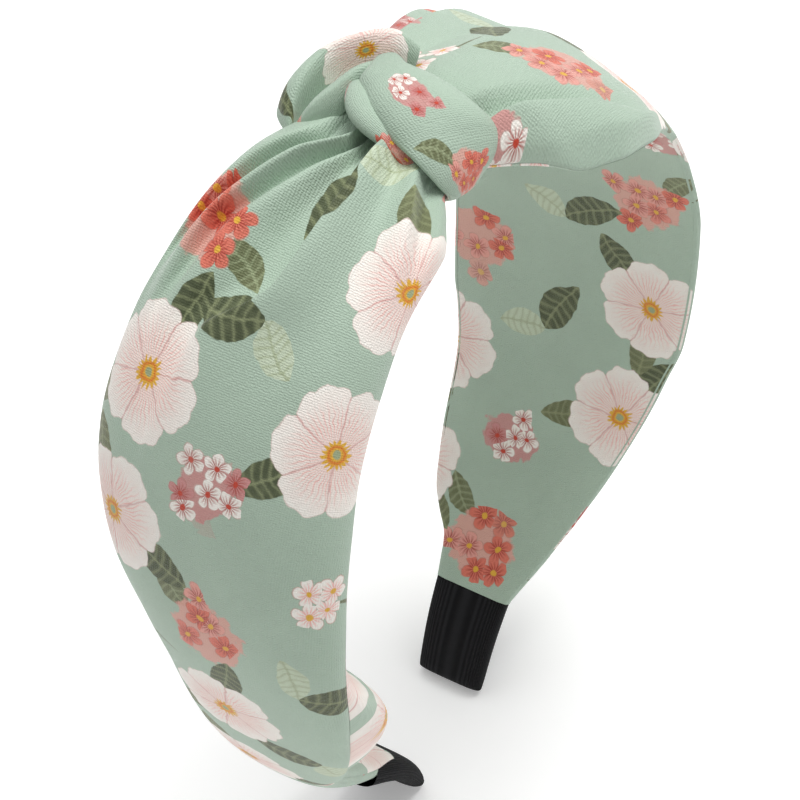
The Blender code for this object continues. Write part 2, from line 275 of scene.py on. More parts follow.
def grid_piece(name, points, across, along, closed=False, flip=False):
    """A cloth mesh from a grid of points in mm; across and along are cloth coordinates in mm."""
    rows, columns = points.shape[:2]
    mesh = bpy.data.meshes.new(name)
    last = columns if closed else columns - 1
    faces, coordinates = [], []
    for r in range(rows - 1):
        for c in range(last):
            n = (c + 1) % columns
            corners = [(r, c), (r, n), (r + 1, n), (r + 1, c)]
            if flip:
                corners.reverse()
            faces.append([a * columns + b for a, b in corners])
            step = across[r, 1] - across[r, 0]
            for a, b in corners:
                wrap = across[a, b] if not (closed and n == 0 and b == 0) else across[a, -1] + step
                coordinates.append((wrap, along[a, b]))
    mesh.from_pydata((points.reshape(-1, 3) * MM).tolist(), [], faces)
    layer = mesh.uv_layers.new(name="cloth")
    layer.data.foreach_set("uv", np.array(coordinates, np.float32).ravel())
    mesh.polygons.foreach_set("use_smooth", [True] * len(mesh.polygons))
    mesh.update()
    piece = bpy.data.objects.new(name, mesh)
    bpy.context.scene.collection.objects.link(piece)
    return piece


# ---------------------------------------------------------------- covers

LEFT_FRONT = ((0, 11.6), (6, 12.6), (11, 15.4), (17, 18), (28, 17.4), (41, 18), (52, 18.6), (64, 20),
              (73, 20.8), (83, 21.6), (100, 22), (115, 20.6), (130, 17), (146, 11), (160, 8.6), (170, 7.8),
              (187, 6.6))
LEFT_BACK = ((0, 11), (7, 14.8), (12, 17.4), (16, 19.0), (23, 21), (33, 22.8), (41, 24.1),
             (56, 25), (64, 24.4), (73, 22.4), (80, 20.2), (92, 14.6), (105, 11), (125, 9.5),
             (150, 9), (170, 8.2), (187, 6.5))
LEFT_HEIGHT = ((0, 4.4), (5, 5.0), (9, 6.8), (14, 8.4), (24, 9.2), (34, 9.4), (50, 9.4), (65, 8.8),
               (85, 7.2), (104, 5.0), (125, 3.6), (141, 3.0), (170, 2.8), (187, 2.6))
RIGHT_FRONT = ((0, 15), (3, 19), (5.5, 23), (8, 27), (12, 30), (17.6, 32.6), (25, 33), (33, 31.2),
               (45, 27.5), (60, 24.8), (72, 23.6), (83, 24.2), (98, 25.8), (113, 26), (126, 25.7),
               (135, 23.8), (143, 22.1), (159, 17.7), (174, 12.7), (187, 7.8))
RIGHT_BACK = ((0, 12), (14, 13), (34, 16), (50, 18.5), (62, 20.5), (90, 23), (112, 21.8), (131, 19.8),
              (136, 18.4), (145, 16.5), (159, 15.5), (167, 14.3), (172, 13.1), (176, 11),
              (180, 8.6), (187, 7.2))
RIGHT_HEIGHT = ((0, 5.4), (4, 6.0), (9, 7.2), (16, 6.4), (30, 4.8), (45, 4.4), (60, 4.2), (104, 4.0),
                (141, 3.8), (187, 2.8))
RIGHT_FRONT_RIM = ((0, 0.5), (5, 0.5), (10, -1.5), (17, -1.2), (28, -1.8), (45, -4.2), (58, -3.2),
                   (72, -1.2), (90, -0.4), (187, -0.4))
LEFT_FRONT_RIM = ((0, -0.4), (187, -0.4))

# Folds: each line is a table of (s, y, lift), listed from the front to the back of the band.
LEFT_FOLDS = (
    ((0, -10.2, -1.2), (7, -10.4, -1.6), (12.6, -12.8, -1.5), (23.5, -16.2, -0.8),
     (34, -16.9, 0), (60, -19, 0), (100, -21, 0), (187, -8, 0)),
    ((0, -9.2, 0.4), (7, -9.2, 0.5), (12.6, -11.6, 0.5), (23.5, -15.1, 0.3), (34, -16, 0),
     (60, -18, 0), (100, -20, 0), (187, -7.5, 0)),
    ((0, -6, -0.3), (7, -6, -0.5), (14, -7.5, -0.8), (23.5, -9, -0.8), (34, -8, -0.7),
     (45, -5, -0.3), (60, -3, 0), (187, -3, 0)),
    ((0, -2.2, 1.2), (7, -2.4, 1.4), (14, -2.6, 1.5), (23.5, -1.4, 1.5), (30.4, 0.3, 1.3),
     (33.5, 2.7, 1.2), (35.8, 5.4, 1.0), (39, 8.6, 0.8), (44, 10, 0.6), (54, 11.9, 0.3),
     (66, 13, 0), (187, 0, 0)),
    ((0, -1.2, -1.6), (7, -1.4, -1.8), (14, -1.6, -2.0), (23.5, -0.4, -2.1), (30.4, 1.4, -1.8),
     (33.5, 3.9, -1.5), (35.8, 6.8, -1.1), (39, 10.3, -0.8), (44, 12.2, -0.5), (54, 14.4, -0.2),
     (66, 15.5, 0), (187, 1.5, 0)),
    ((0, 0, -2.0), (7, 0.3, -2.2), (14, 1.5, -2.4), (23.5, 3, -2.5), (30, 5, -2.2), (34, 8, -1.6),
     (38, 12, -1.0), (44, 14, -0.6), (54, 16, -0.2), (66, 17, 0), (187, 3, 0)),
    ((0, 0.8, -1.2), (7, 1.6, -1.0), (14.7, 5.4, -0.4), (20, 8.8, 0), (25.3, 12.2, 0.1),
     (33, 14.6, 0.2), (40, 16.6, 0), (54, 18, 0), (187, 4, 0)),
    ((0, 1.4, -2.4), (7.6, 2.3, -2.4), (14.7, 7.1, -2.1), (20, 10.5, -1.9), (25.3, 14.2, -1.6),
     (33.2, 16.4, -1.0), (38, 18, -0.4), (46, 19, 0), (187, 5, 0)),
    ((0, 2.2, 0), (7, 3.3, 0.4), (13, 8.6, 0.9), (18, 12.2, 1.0), (25, 16.4, 1.0), (33, 18.8, 0.6),
     (40, 20, 0.1), (46, 20.5, 0), (187, 6, 0)),
    ((0, 3.2, -3.0), (6.4, 4.8, -3.4), (12, 10.2, -3.4), (18, 14.6, -3.0), (22, 17.6, -2.5),
     (30, 20.7, -1.3), (36, 21.9, -0.4), (46, 22.5, 0), (187, 7, 0)),
    ((0, 7, -0.4), (7.3, 10.2, 0), (13, 14.6, 0.2), (18, 17.8, 0.2), (25, 20.4, 0.1),
     (34, 22.4, 0), (60, 24, 0), (105, 14, 0), (187, 7.5, 0)),
)
RIGHT_FOLDS = (
    ((0, -14, 0), (8, -24, 1.2), (14, -28, 1.8), (22, -31, 1.6), (33, -29.5, 0.6), (45, -26, 0),
     (187, -7, 0)),
    ((0, -12.6, 0.6), (6, -16, 1.4), (9, -19, 2.0), (14, -23.6, 2.0), (20, -27.2, 1.4),
     (27, -29.8, 0.7), (36, -27, 0), (187, -6, 0)),
    ((0, -9.6, -1.4), (6, -12.7, -1.4), (9, -15.4, -1.5), (13.5, -19.4, -1.5), (19, -24.2, -1.1),
     (24, -27.2, -0.6), (34, -25, 0), (187, -5, 0)),
    ((0, -6, 0), (8, -10, 0.1), (14, -14, 0.1), (25, -20, 0), (45, -18, -0.4), (70, -16, 0),
     (187, -4, 0)),
    ((0, -2, 0), (20, -4, 0), (42, -6, -0.4), (60, -6, -0.4), (85, -6, 0), (187, -1, 0)),
    ((0, 4, -0.2), (20, 6, -1.4), (42, 9, -2.0), (60, 9, -1.3), (85, 8, 0), (187, 3, 0)),
)

FOLD_DEPTH = 1.65
HOOP_CLEAR_Y, HOOP_CLEAR_H = 12.0, 2.1     # the cloth stays this high over the hoop's width
WIDE_UNTIL = 62.0
COVER_ROWS, COVER_COLUMNS = 300, 170
RIM_H = -0.4
HEM_IN, HEM_DROP = 0.9, 0.9


def rim_line(y, front, back, front_rim):
    """Height of the straight line between the two rims of the cloth."""
    t = (y + front) / (front + back)
    return front_rim + (RIM_H - front_rim) * np.clip(t, 0, 1)


def cover_section(front, back, front_rim, height, roundness, fold_y, fold_h, clear):
    """(y, h) from the front hem over the top to the back hem, with the folds added."""
    middle, half = (back - front) / 2, (front + back) / 2
    t = np.sin(np.linspace(-math.pi / 2, math.pi / 2, 361))
    y = middle + half * t
    base = rim_line(y, front, back, front_rim)
    arch = (1 - np.abs(t) ** roundness[0]) ** roundness[1]
    h = base + (height - rim_line(middle, front, back, front_rim)) * arch
    keys = np.concatenate([[-front], fold_y, [back]])
    lifts = np.concatenate([[0.0], fold_h, [0.0]])
    keys = np.maximum.accumulate(keys) + np.arange(len(keys)) * 1e-3
    run = np.concatenate([[0.0], np.cumsum(np.hypot(np.diff(y), np.diff(h)))])
    across = run - np.interp(0.0, y, run)
    h = h + FOLD_DEPTH * eased_columns(keys, lifts, y)
    over_hoop = np.clip((HOOP_CLEAR_Y - np.abs(y)) / 1.2, 0, 1)
    h = np.where(over_hoop > 0, np.maximum(h, HOOP_CLEAR_H * over_hoop * clear), h)
    hem = np.linspace(0, 1, 12)[1:]
    drop = HEM_DROP * np.sin(hem * math.pi / 2)
    hem_run = hem * (HEM_IN + 1)
    y = np.concatenate([(-front + HEM_IN * hem)[::-1], y, back - HEM_IN * hem])
    h = np.concatenate([(front_rim - drop)[::-1], h, RIM_H - drop])
    across = np.concatenate([across[0] - hem_run[::-1], across, across[-1] + hem_run])
    return y, h, across


def make_cover(name, side):
    """The gathered outer cloth of one leg, from under the knot to the ribbon."""
    fronts, backs, rims, heights, folds, roundness = (
        (LEFT_FRONT, LEFT_BACK, LEFT_FRONT_RIM, LEFT_HEIGHT, LEFT_FOLDS, (2.3, 0.43))
        if side == LEFT else
        (RIGHT_FRONT, RIGHT_BACK, RIGHT_FRONT_RIM, RIGHT_HEIGHT, RIGHT_FOLDS, (2.0, 0.8)))
    stations = np.linspace(0.2, 187.4, COVER_ROWS)
    front, back, rim, height = (eased(t, stations) for t in (fronts, backs, rims, heights))
    points, across = [], []
    fold_ys = np.array([eased([(r[0], r[1]) for r in line], stations) for line in folds])
    fold_hs = np.array([eased([(r[0], r[2]) for r in line], stations) for line in folds])
    for i, s in enumerate(stations):
        y, h, w = cover_section(front[i], back[i], rim[i], height[i], roundness,
                                fold_ys[:, i], fold_hs[:, i], float(s < WIDE_UNTIL))
        run = np.concatenate([[0.0], np.cumsum(np.hypot(np.diff(y), np.diff(h)))])
        at = np.linspace(0, run[-1], COVER_COLUMNS)
        row_y, row_h, row_w = np.interp(at, run, y), np.interp(at, run, h), np.interp(at, run, w)
        points.append(band_point(np.full(COVER_COLUMNS, side * s), row_y, row_h))
        across.append(row_w)
    along = np.repeat(stations[:, None], COVER_COLUMNS, 1)
    piece = grid_piece(name, np.array(points), np.array(across), along, flip=side == RIGHT)
    return piece


# ---------------------------------------------------------------- linings

LINING_ROWS, LINING_COLUMNS = 220, 90
LINING_INSET = 0.25
LINING_H = -1.7
LEFT_PUFF = ((0, 0), (86, 0), (98, 5), (110, 9.5), (122, 11.5), (131, 10.5), (140, 6.5), (150, 3), (162, 1),
             (187, 0.4))
RIGHT_PUFF = ((0, 0), (187, 0))
LEFT_SPILL = ((0, 0), (94, 0), (104, 3.5), (114, 6.5), (124, 7.5), (132, 6.5), (140, 3.5), (150, 1),
              (160, 0), (187, 0))
RIGHT_SPILL = ((0, 0), (187, 0))


def make_lining(name, side):
    """The inner cloth of one leg, a smooth strip that puffs inwards near the left tip."""
    fronts, backs, rims, puffs, spills = (
        (LEFT_FRONT, LEFT_BACK, LEFT_FRONT_RIM, LEFT_PUFF, LEFT_SPILL) if side == LEFT
        else (RIGHT_FRONT, RIGHT_BACK, RIGHT_FRONT_RIM, RIGHT_PUFF, RIGHT_SPILL))
    stations = np.linspace(0.2, 187.4, LINING_ROWS)
    front, back, rim, puff, spill = (eased(table, stations)
                                     for table in (fronts, backs, rims, puffs, spills))
    u = np.linspace(-1, 1, LINING_COLUMNS)
    points, across = [], []
    for i, s in enumerate(stations):
        middle, half = (back[i] - front[i]) / 2, (front[i] + back[i]) / 2 - LINING_INSET
        y = middle + half * np.sin(u * math.pi / 2 * 0.98) / math.sin(math.pi / 2 * 0.98)
        edge = rim_line(y, front[i], back[i], rim[i]) - 0.5
        inside = np.clip((1 - np.abs(u)) * 2.2, 0, 1) ** 0.7
        h = edge + (LINING_H - edge) * inside - puff[i] * np.maximum(1 - u * u, 0) ** 0.8
        spilt = y - spill[i] * np.maximum(1 - u * u, 0) ** 0.8
        points.append(band_point(np.full(LINING_COLUMNS, side * s), spilt, h))
        across.append(y)
    along = np.repeat(stations[:, None], LINING_COLUMNS, 1)
    return grid_piece(name, np.array(points), np.array(across), along, flip=side == LEFT)


# ---------------------------------------------------------------- knot

# Left and right edges (s, y, h) of the fold that goes round the crown, and how far it bulges
WRAP_STATIONS = (
    ((7.6, 8.0, 4.0), (9.2, 5.6, 4.0), 0.6),
    ((4.6, 6.4, 7.6), (7.4, 3.4, 7.6), 1.2),
    ((0.8, 6.3, 7.9), (6.1, 0.4, 8.0), 2.2),
    ((-1.7, 4.1, 8.1), (5.8, -4.3, 8.0), 3.0),
    ((-3.6, 1.8, 8.2), (5.4, -8.6, 7.6), 3.4),
    ((-5.0, -1.2, 7.9), (4.9, -12.6, 6.6), 3.4),
    ((-6.3, -4.8, 7.4), (4.7, -15.4, 4.8), 2.8),
    ((-7.3, -8.6, 6.6), (4.2, -16.6, 2.8), 1.8),
    ((-7.8, -12.2, 3.6), (1.4, -16.2, 0.4), 1.2),
    ((-7.2, -13.4, -0.6), (-1.8, -14.4, -2.2), 0.8),
    ((-7.0, -8.0, -3.9), (4.0, -9.0, -3.9), 0.7),
    ((-6.0, 0.0, -4.2), (6.0, 0.0, -4.2), 0.7),
    ((-5.0, 8.0, -4.0), (7.0, 8.0, -4.0), 0.7),
    ((-1.0, 12.2, -1.8), (8.0, 11.6, -1.8), 0.8),
    ((4.6, 11.0, 1.6), (9.2, 9.4, 1.6), 0.7),
)
# The loop is one sheet with two ridges and a hollow between them: lines of (s, y, h) from the
# back of the band to the pleats, each from the free left end to the end that goes into the wrap
LOOP_LINES = (
    ((-7.8, 14.0, -0.5), (-4.5, 18.2, 0), (2.5, 18.4, 0.5), (9, 15.5, 1.5), (13, 10, 2.5),
     (13.2, 4, 3)),
    ((-7.7, 14.2, 0.3), (-3.4, 17.4, 3.6), (3.2, 17.0, 4.8), (8.8, 13.8, 5.8), (12.2, 8.6, 6.8),
     (12, 3.2, 6.4)),
    ((-7.6, 14.2, 0.8), (-2.2, 15.8, 5.4), (3.8, 15, 7.2), (7.8, 11.6, 8.4), (10.8, 6.8, 9.2),
     (10.6, 2.0, 8.4)),
    ((-7.5, 14.1, 0.8), (-2.0, 14.6, 4.6), (3.6, 13.6, 6.0), (7.2, 10.4, 7.0), (9.4, 6.0, 7.8),
     (9.4, 1.4, 7.2)),
    ((-7.5, 13.9, 0.4), (-2.6, 13.5, 0.2), (2.2, 12.2, 0.6), (5.4, 9.8, 1.4), (7.4, 6.2, 2.6),
     (8.0, 1.8, 3.6)),
    ((-7.6, 13.8, 0.8), (-3.4, 12.4, 4.0), (0.6, 10.4, 5.8), (3.8, 8.6, 6.6), (6.2, 5.8, 7.0),
     (7.2, 1.8, 6.6)),
    ((-7.8, 13.6, 1.2), (-4.6, 11.6, 5.6), (-1.0, 9.3, 7.4), (2.4, 7.6, 8.3), (4.8, 5.2, 8.0),
     (6.2, 1.4, 7.4)),
    ((-8.0, 13.2, 1.0), (-5.8, 10.9, 4.4), (-2.4, 8.4, 5.8), (1.2, 6.8, 6.8), (4.0, 4.6, 6.8),
     (5.6, 1.0, 6.2)),
    ((-8.2, 12.6, 0.0), (-6.4, 10.0, 1.8), (-3.2, 7.6, 3.2), (0.4, 6.0, 4.2), (3.2, 4.0, 4.6),
     (5.0, 0.6, 4.4)),
)
LOOP_ROWS, LOOP_COLUMNS = 120, 110
TUCK_PATH = ((1.4, 6.6, 6.0), (-0.8, 5.4, 7.2), (-2.8, 3.4, 7.5), (-4.2, 0.8, 7.4), (-5.0, -2.2, 6.7),
             (-5.6, -5.2, 5.2), (-6.0, -8.0, 2.8), (-6.0, -10.2, 0.0))
TUCK_RADII = ((0, 1.2), (0.15, 2.0), (0.3, 2.4), (0.6, 1.9), (1.0, 1.2))


def make_loop(name):
    """The curled sheet behind the wrap."""
    lines = np.array([smooth_path(line, LOOP_ROWS) for line in LOOP_LINES])
    rows = [smooth_path(lines[:, i], LOOP_COLUMNS) for i in range(LOOP_ROWS)]
    points = np.array(rows)
    gaps = np.linalg.norm(np.diff(points, axis=1), axis=2)
    across = np.concatenate([np.zeros((LOOP_ROWS, 1)), np.cumsum(gaps, 1)], 1)
    middle = points[:, LOOP_COLUMNS // 2]
    run = np.concatenate([[0.0], np.cumsum(np.linalg.norm(np.diff(middle, axis=0), axis=1))])
    along = np.repeat(run[:, None], LOOP_COLUMNS, 1)
    world = band_point(points[..., 0], points[..., 1], points[..., 2])
    return grid_piece(name, world, across, along)


def make_wrap(name):
    """The smooth fold over the knot: a closed band with a rounded outer face."""
    left = smooth_closed([row[0] for row in WRAP_STATIONS], 200)
    right = smooth_closed([row[1] for row in WRAP_STATIONS], 200)
    bulge = smooth_closed([(row[2],) for row in WRAP_STATIONS], 200)[:, 0]
    outer = np.linspace(-1, 1, 46)
    inner = np.linspace(1, -1, 16)[1:-1]
    middle = (left + right) / 2
    ahead = np.roll(middle, -1, 0) - np.roll(middle, 1, 0)
    across = right - left
    normal = np.cross(ahead, across)
    normal /= np.linalg.norm(normal, axis=1)[:, None]
    normal *= np.sign(normal[20][2])
    points = []
    for i in range(len(left)):
        top = [(u, bulge[i] * (1 - abs(u) ** 3.0) ** 0.7) for u in outer]
        low = [(u, -0.9 * (1 - u * u) ** 0.5) for u in inner]
        ring = [middle[i] + across[i] * u / 2 + normal[i] * lift for u, lift in top + low]
        points.append(ring)
    points = np.array(points)
    points = np.concatenate([points, points[:1]])
    width = np.concatenate([outer, inner]) * 7.5
    run = np.concatenate([[0.0], np.cumsum(np.linalg.norm(np.diff(
        np.concatenate([middle, middle[:1]]), axis=0), axis=1))])
    world = band_point(points[..., 0], points[..., 1], points[..., 2])
    w = np.repeat(width[None, :], len(points), 0)
    along = np.repeat(run[:, None], len(width), 1)
    return grid_piece(name, world, w, along, closed=True)


def smooth_closed(points, count):
    points = np.array(points, float)
    n = len(points)
    extended = np.concatenate([points[-2:], points, points[:3]])
    at = np.linspace(0, n, count, endpoint=False) + 2
    return np.stack([catmull(np.arange(len(extended)), extended[:, k], at)
                     for k in range(points.shape[1])], -1)


def make_roll(name, path, radii, squash=0.85, columns=36, rows=110):
    """A rolled fold of cloth that follows a path, rounded off at both ends."""
    line = smooth_path(path, rows)
    radius = eased(radii, np.linspace(0, 1, rows))
    cap = np.sqrt(np.clip(np.minimum(np.linspace(0, 1, rows), np.linspace(1, 0, rows)) * 14, 0, 1))
    ahead = np.gradient(line, axis=0)
    ahead /= np.linalg.norm(ahead, axis=1)[:, None]
    up = np.array([0.0, 0.0, 1.0])
    points = []
    for i in range(rows):
        sideways = np.cross(ahead[i], up)
        sideways /= np.linalg.norm(sideways)
        out = np.cross(sideways, ahead[i])
        turn = np.linspace(0, 2 * math.pi, columns, endpoint=False)
        r = radius[i] * max(cap[i], 0.02)
        points.append(line[i] + r * (np.cos(turn)[:, None] * sideways
                                     + squash * np.sin(turn)[:, None] * out))
    points = np.array(points)
    run = np.concatenate([[0.0], np.cumsum(np.linalg.norm(np.diff(line, axis=0), axis=1))])
    w = np.repeat((np.linspace(0, 2 * math.pi, columns, endpoint=False) * 3.4)[None, :], rows, 0)
    along = np.repeat(run[:, None], columns, 1)
    world = band_point(points[..., 0], points[..., 1], points[..., 2])
    return grid_piece(name, world, w, along, closed=True, flip=True)


# ---------------------------------------------------------------- ribbons

RIBBON_ROWS, RIBBON_COLUMNS = 60, 80
# Each ribbon: where it starts, and tables over its length of half width, half thickness and
# how far its middle line drifts towards the front of the band
RIBBON_MIDDLE = 0.8        # height of the sleeve's middle, half the hoop's thickness
RIBBON_PINCH = 0.05        # the end ring shrinks to this, which closes the sleeve
RIBBONS = {
    LEFT: (178.0, ((0, 7.4), (0.3, 7.8), (0.6, 7.5), (0.85, 6.7), (1, 6.2)),
           ((0, 2.6), (0.8, 2.2), (0.95, 1.8), (1, 1.3)), ((0, 0), (0.5, 0.5), (0.85, 0.9), (1, 1.0))),
    RIGHT: (184.2, ((0, 7.4), (1, 6.4)), ((0, 2.4), (0.9, 2.2), (0.97, 1.8), (1, 1.3)), ((0, 0), (1, 0))),
}


def make_ribbon(name, side):
    """The ribbon folded round one tip of the hoop."""
    start, widths, depths, drifts = RIBBONS[side]
    stations = np.linspace(start, LEG_LENGTH, RIBBON_ROWS)
    t = np.linspace(0, 1, RIBBON_ROWS)
    half, thick, drift = eased(widths, t), eased(depths, t), eased(drifts, t)
    turn = np.linspace(0, 2 * math.pi, RIBBON_COLUMNS, endpoint=False)
    points = []
    for i, s in enumerate(stations):
        flat = half[i] * np.sign(np.cos(turn)) * np.abs(np.cos(turn)) ** 0.5
        deep = thick[i] * np.sign(np.sin(turn)) * np.abs(np.sin(turn)) ** 0.7
        points.append(band_point(np.full(RIBBON_COLUMNS, side * s), flat - drift[i],
                                 RIBBON_MIDDLE + deep))
    points.append(band_point(np.full(RIBBON_COLUMNS, side * LEG_LENGTH), flat * RIBBON_PINCH - drift[-1],
                             RIBBON_MIDDLE + deep * RIBBON_PINCH))
    stations = np.append(stations, LEG_LENGTH)
    across = np.repeat((turn * 4.6)[None, :], RIBBON_ROWS + 1, 0)
    along = np.repeat(stations[:, None], RIBBON_COLUMNS, 1)
    return grid_piece(name, np.array(points), across, along, closed=True, flip=side == LEFT)


# ---------------------------------------------------------------- colours

def paint(code):
    """The linear colour of a hex code."""
    parts = [int(code[i:i + 2], 16) / 255 for i in (0, 2, 4)]
    return tuple(p / 12.92 if p <= 0.04045 else ((p + 0.055) / 1.055) ** 2.4 for p in parts)


MINT, PALE_GREEN, SAGE = paint("b3c8b5"), paint("c9d6bd"), paint("a3ae88")
OLIVE, DARK_OLIVE, OLIVE_LIGHT = paint("6d7350"), paint("4c5539"), paint("98a077")
CORAL, RED, PINK = paint("e27a66"), paint("c9452f"), paint("f3aca3")
DEEP_RED, ROSE = paint("a93526"), paint("e8a598")
DUSTY, PALE_PINK, BLUSH = paint("d1928e"), paint("f5d8cf"), paint("efb4aa")
WHITE, MUSTARD, ORANGE = paint("fbf6ee"), paint("e6b23c"), paint("df7d2c")


# ---------------------------------------------------------------- shader building blocks

class Field:
    """A number that varies over the cloth, made of math nodes in one node tree."""

    def __init__(self, tree, socket):
        self.tree = tree
        self.socket = socket

    def math(self, operation, *others, clamp=False):
        node = self.tree.nodes.new("ShaderNodeMath")
        node.operation = operation
        node.use_clamp = clamp
        for slot, value in zip(node.inputs, (self, *others)):
            if isinstance(value, Field):
                self.tree.links.new(value.socket, slot)
            else:
                slot.default_value = value
        return Field(self.tree, node.outputs[0])

    def __add__(self, other):
        return self.math("ADD", other)

    __radd__ = __add__

    def __mul__(self, other):
        return self.math("MULTIPLY", other)

    __rmul__ = __mul__

    def __sub__(self, other):
        return self.math("SUBTRACT", other)

    def __rsub__(self, other):
        return self.math("MULTIPLY_ADD", -1.0, other)

    def __truediv__(self, other):
        return self.math("DIVIDE", other)

    def __pow__(self, other):
        return self.math("POWER", other)

    def __abs__(self):
        return self.math("ABSOLUTE")

    def sin(self):
        return self.math("SINE")

    def clamp(self):
        return self.math("ADD", 0.0, clamp=True)


class Tree:
    """Short names for the nodes used in the prints."""

    def __init__(self, tree):
        self.tree = tree

    def node(self, kind, *linked, **settings):
        node = self.tree.nodes.new(kind)
        for key, value in settings.items():
            setattr(node, key, value)
        for slot, value in zip(node.inputs, linked):
            self.put(slot, value)
        return node

    def put(self, slot, value):
        if value is None:
            return
        if isinstance(value, Field):
            value = value.socket
        if isinstance(value, bpy.types.NodeSocket):
            self.tree.links.new(value, slot)
        elif slot.type == "RGBA":
            slot.default_value = (*value, 1.0)
        else:
            slot.default_value = value

    def field(self, socket):
        return Field(self.tree, socket)

    def split(self, vector):
        node = self.node("ShaderNodeSeparateXYZ", vector)
        return self.field(node.outputs[0]), self.field(node.outputs[1]), self.field(node.outputs[2])

    def mix(self, base, top, amount):
        node = self.node("ShaderNodeMix", data_type="RGBA")
        self.put(node.inputs[0], amount)
        self.put(node.inputs[6], base)
        self.put(node.inputs[7], top)
        return node.outputs[2]

    def noise(self, vector, scale, detail=2.0):
        node = self.node("ShaderNodeTexNoise", noise_dimensions="2D")
        self.put(node.inputs["Vector"], vector)
        node.inputs["Scale"].default_value = scale
        node.inputs["Detail"].default_value = detail
        return node

    def spread(self, vector, scale, detail=2.0):
        """Noise around zero."""
        return self.field(self.noise(vector, scale, detail).outputs[0]) - 0.5


class Motif(Tree):
    """A node group that lays one motif over the colour it is given."""

    FIRST = (("Colour", "Color"), ("Position", "Vector"), ("Place", "Vector"), ("Turn", "Vector"),
             ("Size", "Vector"))

    def __init__(self, name, colours, numbers=()):
        group = bpy.data.node_groups.new(name, "ShaderNodeTree")
        super().__init__(group)
        sockets = self.FIRST + tuple((c, "Color") for c in colours) + tuple((n, "Float") for n in numbers)
        for label, kind in sockets:
            group.interface.new_socket(label, in_out="INPUT", socket_type="NodeSocket" + kind)
        group.interface.new_socket("Colour", in_out="OUTPUT", socket_type="NodeSocketColor")
        self.inputs = group.nodes.new("NodeGroupInput").outputs
        self.group = group

    def number(self, label):
        return self.field(self.inputs[label])

    def local(self, vector=None):
        """Coordinates in the motif's own frame, where its outline is about 1 from its middle."""
        node = self.node("ShaderNodeMapping", vector or self.inputs["Position"], vector_type="TEXTURE")
        self.put(node.inputs["Location"], self.inputs["Place"])
        self.put(node.inputs["Rotation"], self.inputs["Turn"])
        self.put(node.inputs["Scale"], self.inputs["Size"])
        return node.outputs[0]

    def finish(self, colour, amount):
        out = self.group.nodes.new("NodeGroupOutput")
        self.put(out.inputs[0], self.mix(self.inputs["Colour"], colour, amount))
        return self.group


def flower_group():
    """One open flower: scalloped petals, pencil lines, seams between petals and a dotted heart."""
    m = Motif("print_flower", ("Rim", "Inner", "Line", "Heart"), ("Petals",))
    local = m.local()
    x, y, _ = m.split(local)
    radius = (x * x + y * y) ** 0.5
    angle = y.math("ARCTAN2", x)
    lobe = abs((angle * m.number("Petals") * 0.5).sin())
    waver = m.spread(local, 5.0)
    outline = 0.8 + lobe ** 0.45 * 0.18 + (angle * m.number("Petals") * 3.0).sin() * 0.02 + waver * 0.06
    depth = (1.2 - radius * 1.25 + waver * 0.5).clamp()
    strokes = ((angle * 53.0 + waver * 9.0).sin() * 0.5 + 0.5) ** 5.0
    strokes = strokes * (1.0 - abs(radius - 0.42) * 2.6).clamp()
    seam = (1.0 - lobe * radius / m.number("Petals") * 90.0 + waver).clamp()
    rim_line = (1.0 - abs(outline - radius - 0.012) * 55.0).clamp()
    colour = m.mix(m.inputs["Rim"], m.inputs["Inner"], depth * 0.75)
    colour = m.mix(colour, m.inputs["Line"], strokes * 0.8)
    colour = m.mix(colour, DUSTY, (seam * 0.65 + rim_line * 0.45).clamp())
    rays = (angle * 17.0 + waver * 8.0).sin() * 0.035
    heart = ((0.21 - radius + rays + waver * 0.1) * 30.0).clamp()
    ring = (1.0 - abs(radius - 0.12 + waver * 0.05) * 26.0).clamp()
    eye = ((0.075 - radius) * 50.0).clamp()
    centre = m.mix(m.mix(m.inputs["Heart"], ORANGE, ring), SAGE, eye)
    colour = m.mix(colour, centre, heart)
    return m.finish(colour, ((outline - radius) * 45.0).clamp())


